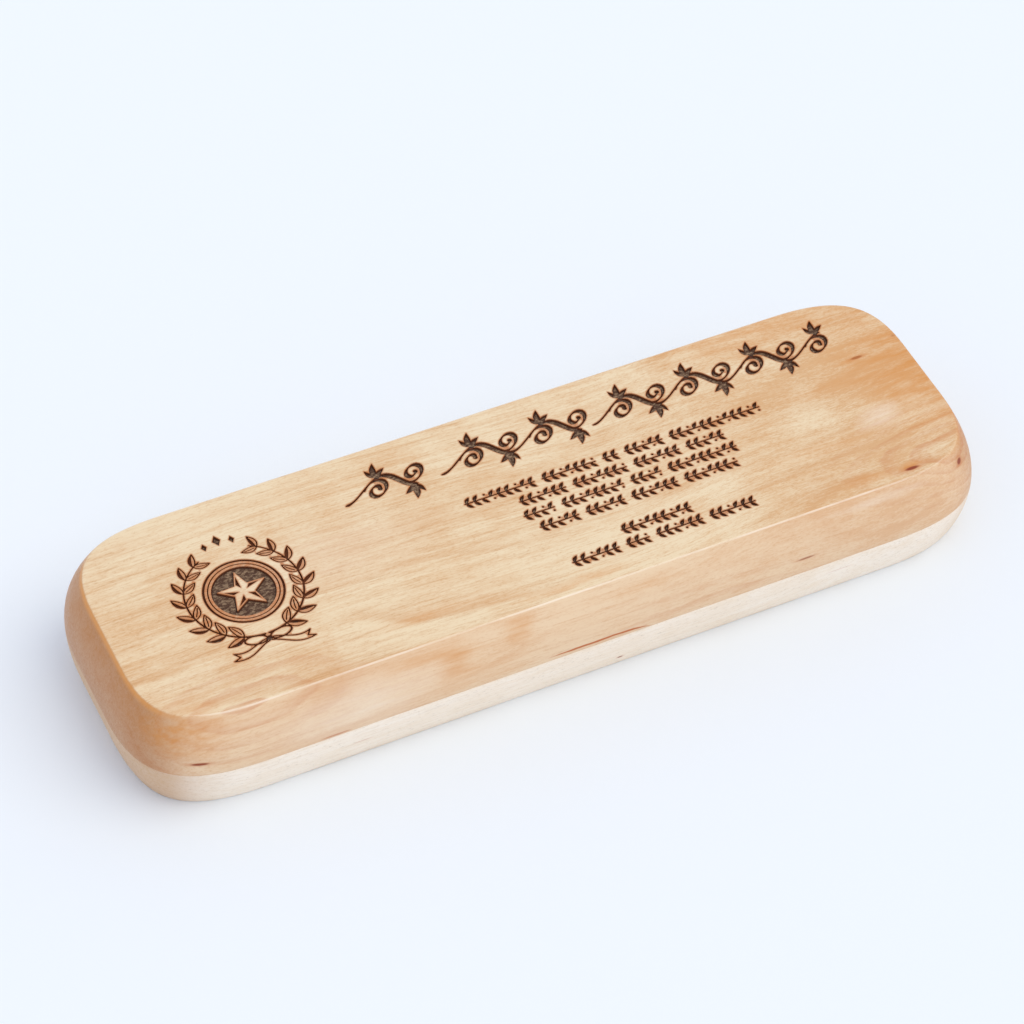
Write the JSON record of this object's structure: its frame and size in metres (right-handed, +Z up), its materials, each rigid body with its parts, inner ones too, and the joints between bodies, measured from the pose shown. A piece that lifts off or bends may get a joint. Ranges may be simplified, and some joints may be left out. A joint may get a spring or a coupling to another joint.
{
  "type": "engraved wooden presentation pen case",
  "caption": "Flat maple presentation case with rounded ends: engraved hinged lid over a base with a grooved pen insert, brass butt hinges and disc magnets.",
  "frame": {"origin": "on the table, under the middle of the wood, with the case closed and resting on its flat underside", "axes": "+X along the case, +Y towards the hinges at the back, +Z up"},
  "size_m": [0.175, 0.0588, 0.0226],
  "materials": {
    "maple_base": "pale maple, fine sanded, thin matt lacquer",
    "maple_lid": "maple, fine sanded, thin satin lacquer, with a burnt shallow engraving",
    "flocking": "black flocked tray",
    "lining": "black velvet over thin foam",
    "brass": "polished and lightly brushed brass",
    "screw_brass": "turned brass with a slotted head",
    "magnet_nickel": "nickel-plated disc"
  },
  "bodies": {
    "base": {"base_shell": "maple_base", "base_insert": "flocking", "hinge_left_base_leaf": "brass", "hinge_left_pin": "brass", "hinge_left_base_screws": "screw_brass", "hinge_right_base_leaf": "brass", "hinge_right_pin": "brass", "hinge_right_base_screws": "screw_brass", "base_magnet_left": "magnet_nickel", "base_magnet_right": "magnet_nickel"},
    "lid": {"lid_shell": "maple_lid", "lid_pad": "lining", "hinge_left_lid_leaf": "brass", "hinge_left_lid_screws": "screw_brass", "hinge_right_lid_leaf": "brass", "hinge_right_lid_screws": "screw_brass", "lid_magnet_left": "magnet_nickel", "lid_magnet_right": "magnet_nickel"}
  },
  "joints": [
    {"name": "lid_hinge", "type": "hinge", "parent": "base", "child": "lid", "pos_m": [0, 0.02955, 0.0104], "axis": [-1, 0, 0], "range_deg": [0, 160]}
  ]
}
